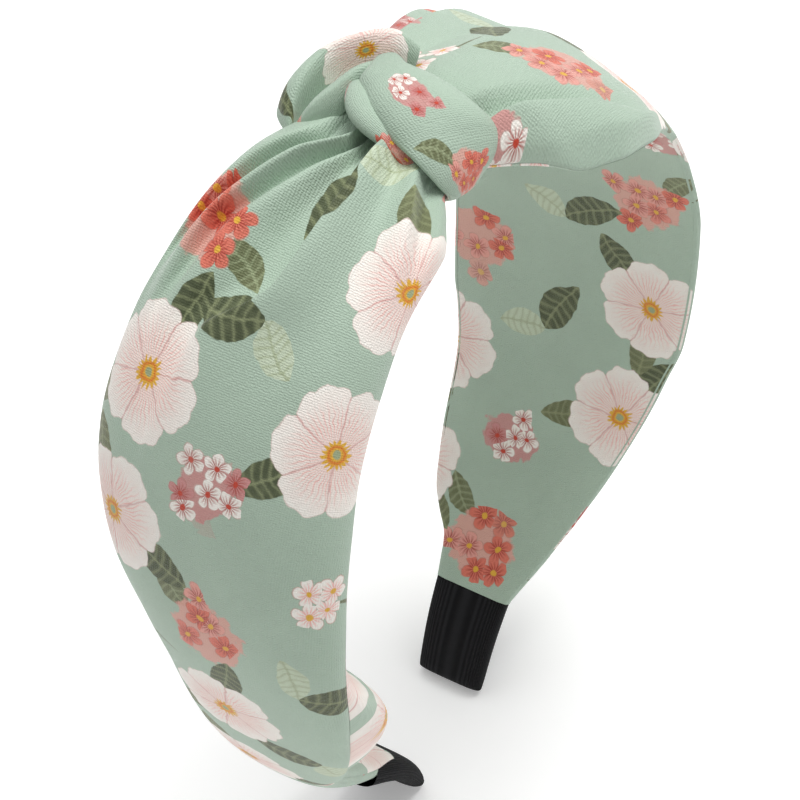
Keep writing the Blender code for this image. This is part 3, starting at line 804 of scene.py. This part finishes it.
def cluster_group():
    """Many small five-lobed florets inside an oval, with a colour between them."""
    m = Motif("print_cluster", ("First", "Second", "Eye", "Edge", "Gap"), ("Cell", "Fill"))
    cell = m.node("ShaderNodeTexVoronoi", voronoi_dimensions="2D")
    m.put(cell.inputs["Vector"], m.inputs["Position"])
    m.put(cell.inputs["Scale"], m.number("Cell") ** -1.0)
    cell.inputs["Randomness"].default_value = 0.62
    offset = m.node("ShaderNodeVectorMath", m.inputs["Position"], cell.outputs["Position"],
                    operation="SUBTRACT")
    dx, dy, _ = m.split(offset.outputs[0])
    chance, shade, _ = m.split(cell.outputs["Color"])
    radius = (dx * dx + dy * dy) ** 0.5 / m.number("Cell") * 1.5
    angle = dy.math("ARCTAN2", dx) + chance * 6.3
    lobe = abs((angle * 2.5).sin())
    outline = 0.5 + lobe ** 0.6 * 0.48
    floret = ((outline - radius) * 9.0).clamp()
    cx, cy, _ = m.split(m.local(cell.outputs["Position"]))
    reach = (cx * cx + cy * cy) ** 0.5 + chance * 0.2
    inside = ((1.0 - reach) * 60.0).clamp()
    colour = m.mix(m.inputs["First"], m.inputs["Second"], ((shade - 0.45) * 6.0).clamp())
    strokes = ((angle * 15.0).sin() * 0.5 + 0.5) * ((0.72 - radius) * 2.4).clamp()
    colour = m.mix(colour, m.inputs["Edge"], strokes * 0.85)
    veins = (1.0 - lobe * radius * 5.0).clamp()
    rim_line = (1.0 - abs(outline - radius - 0.05) * 12.0).clamp()
    colour = m.mix(colour, m.inputs["Edge"], (veins * 0.55 + rim_line * 0.6).clamp())
    colour = m.mix(colour, m.inputs["Eye"], ((0.2 - radius) * 16.0).clamp())
    px, py, _ = m.split(m.local())
    ground_reach = (px * px + py * py) ** 0.5 + m.spread(m.inputs["Position"], 0.45) * 0.5
    ground = ((0.86 - ground_reach) * 14.0).clamp() * m.number("Fill")
    florets = floret * inside
    colour = m.mix(m.inputs["Gap"], colour, florets)
    return m.finish(colour, florets.math("MAXIMUM", ground))


def leaf_group():
    """A leaf, petal or stem: a pointed outline, bent sideways, with a midrib and side veins."""
    m = Motif("print_leaf", ("Blade", "Vein"), ("Bend", "Veins", "Marks"))
    local = m.local()
    x, y, _ = m.split(local)
    _, width, _ = m.split(m.inputs["Size"])
    bulge = (1.0 - x * x).math("MAXIMUM", 0.0)
    across = y - bulge * m.number("Bend")
    half = bulge ** 0.75 * (1.0 - x * 0.22)
    waver = m.spread(m.inputs["Position"], 0.5)
    edge = (half - abs(across)) * width + waver * 0.12
    ribs = ((x * m.number("Veins") + abs(across) * 4.0 + waver * 1.6).sin() * 0.5 + 0.5) ** 3.0
    midrib = (1.0 - abs(across) * width * 3.0).clamp()
    marks = (ribs * 0.7 + midrib).clamp() * m.number("Marks")
    shaded = m.mix(m.inputs["Blade"], m.inputs["Vein"], marks)
    shaded = m.mix(shaded, m.inputs["Vein"], ((waver + 0.08) * 1.6).clamp() * 0.35)
    return m.finish(shaded, (edge * 6.0).clamp())


GROUPS = {"flower": flower_group(), "cluster": cluster_group(), "leaf": leaf_group()}


# ---------------------------------------------------------------- the print

def flower(place, size, turn=0, petals=8, rim=PALE_PINK, inner=BLUSH, line=CORAL, heart=MUSTARD):
    return "flower", place, turn, size, dict(Rim=rim, Inner=inner, Line=line, Heart=heart,
                                             Petals=petals)


def cluster(place, size, turn=0, cell=4.2, first=CORAL, second=PINK, eye=MUSTARD, edge=RED,
            gap=DEEP_RED, fill=0.0):
    return "cluster", place, turn, size, dict(First=first, Second=second, Eye=eye, Edge=edge,
                                              Gap=gap, Cell=cell, Fill=fill)


def leaf(start, end, width, bend=0.0, blade=OLIVE, vein=OLIVE_LIGHT, veins=22, marks=0.7):
    """A leaf from its stalk to its point; width is half of it across, bend is sideways, in mm."""
    dx, dy = end[0] - start[0], end[1] - start[1]
    middle = ((start[0] + end[0]) / 2, (start[1] + end[1]) / 2)
    size = (math.hypot(dx, dy) / 2, width)
    return "leaf", middle, math.degrees(math.atan2(dy, dx)), size, dict(
        Blade=blade, Vein=vein, Bend=bend / width, Veins=veins, Marks=marks)


def ray_leaf(x, y, turn, near, far, width, blade=OLIVE, vein=OLIVE_LIGHT, bend=0.0):
    """A leaf that points away from (x, y), from one radius to another."""
    dx, dy = math.cos(turn), math.sin(turn)
    return leaf((x + near * dx, y + near * dy), (x + far * dx, y + far * dy), width, bend, blade, vein)


def blossom(x, y, turn, scale):
    """A wide pale flower with two leaves behind it."""
    radius = 10.5 * scale
    return (ray_leaf(x, y, turn, radius * 0.6, radius * 1.6, 3.0 * scale, DARK_OLIVE),
            ray_leaf(x, y, turn + 2.4, radius * 0.6, radius * 1.5, 2.6 * scale),
            flower((x, y), (radius, radius), math.degrees(turn), 6, WHITE, PALE_PINK, PINK))


def bunch(x, y, turn, scale):
    """A round bunch of small coral flowers."""
    radius = 8.0 * scale
    return (ray_leaf(x, y, turn, radius * 0.7, radius * 1.8, 2.4 * scale, OLIVE, SAGE, 0.8),
            cluster((x, y), (radius, radius * 0.9), math.degrees(turn), 4.8 * scale,
                    CORAL, ROSE, MUSTARD, DEEP_RED, ROSE, 0.8))


def leaf_pair(x, y, turn, scale):
    """Two leaves on one stalk."""
    length = 9.0 * scale
    return (ray_leaf(x, y, turn, 0, length * 1.4, 3.2 * scale, DARK_OLIVE, OLIVE_LIGHT, 0.8),
            ray_leaf(x, y, turn + 2.2, 0, length, 2.8 * scale, PALE_GREEN, SAGE, -0.6))


def daisies(x, y, turn, scale):
    """A loose patch of small white flowers on a twig."""
    radius = 6.5 * scale
    return (ray_leaf(x, y, turn, 0, radius * 1.9, 0.4, OLIVE, OLIVE, 1.6),
            cluster((x, y), (radius, radius * 0.8), math.degrees(turn), 4.6 * scale,
                    WHITE, WHITE, MUSTARD, PINK))


def dusty_bunch(x, y, turn, scale):
    """A small bunch in a duller pink."""
    radius = 6.5 * scale
    return (cluster((x, y), (radius, radius * 0.8), math.degrees(turn), 4.0 * scale,
                    WHITE, DUSTY, RED, DEEP_RED, DUSTY, 0.9),)


# The print: a stock half-drop repeat, with a little chance in each motif's place and turn
STOCK_MOTIFS = (blossom, bunch, leaf_pair, daisies, blossom, dusty_bunch, leaf_pair)
PRINT_ROW, PRINT_COLUMN, PRINT_JITTER = 24.0, 17.5, 2.0


def half_drop(half_width, length, seed, scale=1.0):
    """Motifs of the repeat over a strip of cloth, across it from -half_width to half_width."""
    dice = random.Random(seed)
    row, column, jitter = PRINT_ROW * scale, PRINT_COLUMN * scale, PRINT_JITTER * scale
    columns = max(1, round(2 * half_width / column))
    motifs = []
    for j in range(columns):
        for i in range(int(length / row) + 2):
            x = (j - (columns - 1) / 2) * column + dice.uniform(-jitter, jitter)
            y = (i - 0.5 * (j % 2)) * row + dice.uniform(-jitter, jitter)
            kind = STOCK_MOTIFS[(3 * i + 2 * j + seed) % len(STOCK_MOTIFS)]
            motifs.extend(kind(x, y, dice.uniform(0, 2 * math.pi), scale))
    return motifs


PRINT_WANDER = 0.45        # how far the hand-drawn outlines stray, in mm


def weave_bump(tree, position, strength=0.5):
    """Fine crepe: crossed threads about a third of a millimetre apart, with loose twists."""
    x, y, _ = tree.split(position)
    twist = tree.spread(position, 1.6, 3.0) * 5.0
    threads = (x * 15.0 + twist).sin() * 0.5 + (y * 18.0 - twist).sin() * 0.5
    grain = tree.spread(position, 3.2, 3.0) * 2.0
    bump = tree.node("ShaderNodeBump")
    bump.inputs["Strength"].default_value = strength
    bump.inputs["Distance"].default_value = 0.0002
    tree.put(bump.inputs["Height"], threads * 0.5 + grain)
    return bump.outputs[0]


BAND = 26.0                # each stretch of cloth this long has its own material, in mm


def printed_cloth(piece, name, motifs, ground=MINT):
    """Prints a piece of cloth, one material for each stretch along it, with the motifs it meets."""
    layer = piece.data.uv_layers["cloth"].data
    along = np.zeros(len(layer) * 2, np.float32)
    layer.foreach_get("uv", along)
    starts = np.zeros(len(piece.data.polygons), np.int32)
    piece.data.polygons.foreach_get("loop_start", starts)
    stretch = (along[1::2][starts] // BAND).astype(np.int32)
    first = int(stretch.min())
    for index in range(first, int(stretch.max()) + 1):
        low, high = index * BAND, (index + 1) * BAND
        met = [m for m in motifs if m[1][1] + reach(m) > low and m[1][1] - reach(m) < high]
        piece.data.materials.append(print_material(f"{name}_{index}", met, ground))
    piece.data.polygons.foreach_set("material_index", stretch - first)


def reach(motif):
    """How far a motif can spread from its middle, in mm."""
    kind, _, _, size, settings = motif
    bend = abs(settings.get("Bend", 0.0)) * size[1]
    return math.hypot(*size) * 1.25 + bend + settings.get("Cell", 0.0) + 3.0


def print_material(name, motifs, ground):
    """Crepe cloth with a printed pattern laid in cloth coordinates (mm)."""
    material = bpy.data.materials.new(name)
    material.use_nodes = True
    tree = Tree(material.node_tree)
    shader = material.node_tree.nodes["Principled BSDF"]
    cloth = tree.node("ShaderNodeUVMap", uv_map="cloth").outputs[0]
    wander = tree.node("ShaderNodeVectorMath", tree.noise(cloth, 0.35).outputs[1],
                       (0.5, 0.5, 0.5), operation="SUBTRACT")
    shift = tree.node("ShaderNodeVectorMath", wander.outputs[0], operation="SCALE")
    shift.inputs["Scale"].default_value = PRINT_WANDER * 2
    position = tree.node("ShaderNodeVectorMath", cloth, shift.outputs[0]).outputs[0]
    cloudy = (tree.spread(cloth, 0.08, 3.0) * 1.2 + 0.5).clamp()
    colour = tree.mix(ground, tuple(c * 0.9 for c in ground), cloudy)
    for kind, place, turn, size, settings in motifs:
        stamp = tree.node("ShaderNodeGroup", node_tree=GROUPS[kind])
        tree.put(stamp.inputs["Colour"], colour)
        tree.put(stamp.inputs["Position"], position)
        stamp.inputs["Place"].default_value = (*place, 0)
        stamp.inputs["Turn"].default_value = (0, 0, math.radians(turn))
        stamp.inputs["Size"].default_value = (*size, 1)
        for label, value in settings.items():
            tree.put(stamp.inputs[label], value)
        colour = stamp.outputs[0]
    tree.put(shader.inputs["Base Color"], colour)
    sheen_spots = tree.spread(cloth, 0.9, 2.0) * 0.12 + 0.52
    tree.put(shader.inputs["Roughness"], sheen_spots)
    shader.inputs["Specular IOR Level"].default_value = 0.35
    shader.inputs["Sheen Weight"].default_value = 0.2
    shader.inputs["Sheen Roughness"].default_value = 0.45
    tree.put(shader.inputs["Normal"], weave_bump(tree, cloth))
    return material


# ---------------------------------------------------------------- ribbon, plastic, paper

def plain(name, colour, roughness=0.55, sheen=0.0):
    material = bpy.data.materials.new(name)
    material.use_nodes = True
    shader = material.node_tree.nodes["Principled BSDF"]
    shader.inputs["Base Color"].default_value = (*colour, 1)
    shader.inputs["Roughness"].default_value = roughness
    shader.inputs["Sheen Weight"].default_value = sheen
    return material


def ribbed_ribbon(name):
    """Black grosgrain: ribs along the leg, with fine threads across them, and painted shade in the grooves between the
    ribs.
    """
    material = plain(name, (0.012, 0.012, 0.014), 0.8)
    material.node_tree.nodes["Principled BSDF"].inputs["Specular IOR Level"].default_value = 0.2
    tree = Tree(material.node_tree)
    shader = material.node_tree.nodes["Principled BSDF"]
    cloth = tree.node("ShaderNodeUVMap", uv_map="cloth").outputs[0]
    x, y, _ = tree.split(cloth)
    ribs = (x * 10.5).sin() * 0.5 + 0.5
    threads = (y * 20.0).sin() * 0.12
    bump = tree.node("ShaderNodeBump")
    bump.inputs["Strength"].default_value = 0.8
    bump.inputs["Distance"].default_value = 0.0003
    tree.put(bump.inputs["Height"], ribs + threads)
    tree.put(shader.inputs["Normal"], bump.outputs[0])
    # The colour follows the height of the ribs and threads: painted shade darkens the grooves and the rib tops are
    # painted lighter.
    tree.put(shader.inputs["Base Color"],
             tree.mix((0.003, 0.003, 0.004), (0.016, 0.016, 0.018), (ribs + threads).clamp()))
    return material


def moulded_plastic(name):
    """The hoop's plastic, with a faint mottle."""
    material = plain(name, (0.62, 0.62, 0.6), 0.35)
    tree = Tree(material.node_tree)
    shader = material.node_tree.nodes["Principled BSDF"]
    place = tree.node("ShaderNodeTexCoord").outputs["Object"]
    mottle = tree.field(tree.noise(place, 300.0).outputs[0])
    tree.put(shader.inputs["Base Color"], tree.mix((0.6, 0.6, 0.58), (0.66, 0.66, 0.64), mottle))
    return material


ribbon_cloth = ribbed_ribbon("ribbon")
hoop_plastic = moulded_plastic("hoop_plastic")


cover_left = make_cover("cloth_cover_left", LEFT)
cover_right = make_cover("cloth_cover_right", RIGHT)
lining_left = make_lining("cloth_lining_left", LEFT)
lining_right = make_lining("cloth_lining_right", RIGHT)
wrap = make_wrap("cloth_knot_wrap")
loop = make_loop("cloth_knot_loop")
tuck = make_roll("cloth_knot_tuck", TUCK_PATH, TUCK_RADII)
ribbon_left = make_ribbon("ribbon_sleeve_left", LEFT)
ribbon_right = make_ribbon("ribbon_sleeve_right", RIGHT)

KNOT_PRINT_SCALE = 0.62    # the knot's folds show smaller motifs than the wide covers

# Each piece's print: the half width and length it covers in mm, its seed and its scale
for piece, name, half_width, length, seed, scale in (
        (cover_left, "near_cover", 27, 190, 1, 1.0),
        (cover_right, "far_cover", 27, 190, 5, 1.0),
        (lining_left, "near_lining", 24, 207, 6, 1.0),
        (lining_right, "far_lining", 24, 207, 3, 1.0),
        (wrap, "wrap", 8, 60, 2, KNOT_PRINT_SCALE),
        (loop, "loop", 14, 40, 4, KNOT_PRINT_SCALE),
        (tuck, "tuck", 7, 24, 5, KNOT_PRINT_SCALE)):
    printed_cloth(piece, name, half_drop(half_width, length, seed, scale))
for ribbon in (ribbon_left, ribbon_right):
    ribbon.data.materials.append(ribbon_cloth)


# ---------------------------------------------------------------- frame

def flex_line(side):
    start = band_point(side * (FLEX_S - FLEX_REACH), 0.0, 1.0) * MM
    end = band_point(side * (FLEX_S + FLEX_REACH), 0.0, 1.0) * MM
    return dict(start=tuple(start), end=tuple(end))


for piece, side, body, nodes in (
        (cover_left, LEFT, "left_leg", ("cover_left", "gather_left")),
        (cover_right, RIGHT, "right_leg", ("cover_right", "gather_right")),
        (lining_left, LEFT, "left_leg", ("lining_left", "lining_crown")),
        (lining_right, RIGHT, "right_leg", ("lining_right",))):
    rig.blend(piece, "crown", body, **flex_line(side))
    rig.replaces(piece, *nodes)
for node in ("hoop_crown", "hoop_leg_left", "hoop_leg_right"):
    frame["nodes"][node].data.materials.clear()
    frame["nodes"][node].data.materials.append(hoop_plastic)
for piece in (wrap, loop, tuck):
    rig.ride(piece, "crown")
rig.replaces(wrap, "knot_wrap")
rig.replaces(loop, "knot_loop")
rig.ride(ribbon_left, "left_leg")
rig.ride(ribbon_right, "right_leg")
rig.replaces(ribbon_left, "ribbon_tip_left")
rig.replaces(ribbon_right, "ribbon_tip_right")

# Every piece of cloth: its cut size (width, length) in metres, how it is held, and on what
for piece, flat, area, held, support, finish in (
        (cover_left, (0.056, 0.190), None, "gathered", "hoop_leg_left", "cover_cloth"),
        (cover_right, (0.058, 0.190), None, "gathered", "hoop_leg_right", "cover_cloth"),
        (lining_left, (0.044, 0.190), None, "laid", "hoop_leg_left", "lining_cloth"),
        (lining_right, (0.046, 0.190), None, "laid", "hoop_leg_right", "lining_cloth"),
        (wrap, (0.014, 0.065), None, "folded", "hoop_crown", "knot_cloth"),
        (loop, (0.030, 0.023), None, "folded", "hoop_crown", "knot_cloth"),
        (tuck, (0.010, 0.020), 0.00016, "folded", "hoop_crown", "knot_cloth"),
        (ribbon_left, (0.0155, 0.054), None, "folded", "hoop_leg_left", "ribbon"),
        (ribbon_right, (0.0155, 0.046), None, "folded", "hoop_leg_right", "ribbon")):
    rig.sheet(piece, flat=flat, held=held, rests_on=[support], area=area)
    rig.slot(piece, finish)


# ---------------------------------------------------------------- stage, light, camera

FLOOR_GLOW, ROOM_LIGHT = 0.2, 0.36


def make_floor():
    bpy.ops.mesh.primitive_plane_add(size=8, location=(0, 0, -0.0005))
    floor = bpy.context.object
    floor.name = "stage_floor"
    paper = plain("stage_paper", (0.97, 0.97, 0.97), 0.9)
    glow = paper.node_tree.nodes["Principled BSDF"].inputs
    glow["Emission Color"].default_value = (1, 1, 1, 1)
    glow["Emission Strength"].default_value = FLOOR_GLOW
    floor.data.materials.append(paper)
    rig.stage(floor)


def add_light(name, place, size, power, target=(0, 0, 0.09)):
    data = bpy.data.lights.new(name, "AREA")
    data.shape = "DISK"
    data.size = size
    data.energy = power
    lamp = bpy.data.objects.new(name, data)
    lamp.location = place
    lamp.rotation_euler = (Vector(target) - Vector(place)).to_track_quat("-Z", "Y").to_euler()
    bpy.context.scene.collection.objects.link(lamp)


def add_world():
    world = bpy.data.worlds.new("soft_studio")
    world.use_nodes = True
    background = world.node_tree.nodes["Background"]
    background.inputs["Color"].default_value = (1, 1, 1, 1)
    background.inputs["Strength"].default_value = ROOM_LIGHT
    bpy.context.scene.world = world


CAMERA_AZIMUTH, CAMERA_ELEVATION, CAMERA_ROLL = -58.28, 51.86, -2.6
CAMERA_DISTANCE = 0.683
CAMERA_LENS = 185.5
CAMERA_SHIFT = (-0.0066, -0.0085)
CAMERA_TARGET_BELOW_CROWN = 0.0647


def add_camera():
    azimuth, elevation, roll = (math.radians(v) for v in
                                (CAMERA_AZIMUTH, CAMERA_ELEVATION, CAMERA_ROLL))
    back = Vector((math.sin(azimuth) * math.cos(elevation),
                   -math.cos(azimuth) * math.cos(elevation), math.sin(elevation)))
    right = Vector((0, 0, 1)).cross(back).normalized()
    up = back.cross(right)
    turned_right = math.cos(roll) * right + math.sin(roll) * up
    turned_up = -math.sin(roll) * right + math.cos(roll) * up
    target = Vector((0, 0, CROWN_Z * MM - CAMERA_TARGET_BELOW_CROWN))
    data = bpy.data.cameras.new("studio_camera")
    data.lens, data.sensor_width = CAMERA_LENS, 36.0
    data.shift_x, data.shift_y = CAMERA_SHIFT
    camera = bpy.data.objects.new("studio_camera", data)
    place = target + back * CAMERA_DISTANCE
    camera.matrix_world = Matrix((
        (turned_right.x, turned_up.x, back.x, place.x),
        (turned_right.y, turned_up.y, back.y, place.y),
        (turned_right.z, turned_up.z, back.z, place.z),
        (0, 0, 0, 1)))
    bpy.context.scene.collection.objects.link(camera)
    bpy.context.scene.camera = camera


make_floor()
add_world()
add_light("key", (0.5, -0.1, 1.4), 0.9, 13.5)
add_light("top", (0.1, 0.2, 2.2), 2.2, 15)
add_camera()
bpy.context.scene.view_settings.view_transform = "Standard"

with open("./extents.json", "w") as size_file:
    json.dump({"cad": [list(c) for c in CAD_BOX], "visual": [list(c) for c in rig.bounds()]}, size_file)
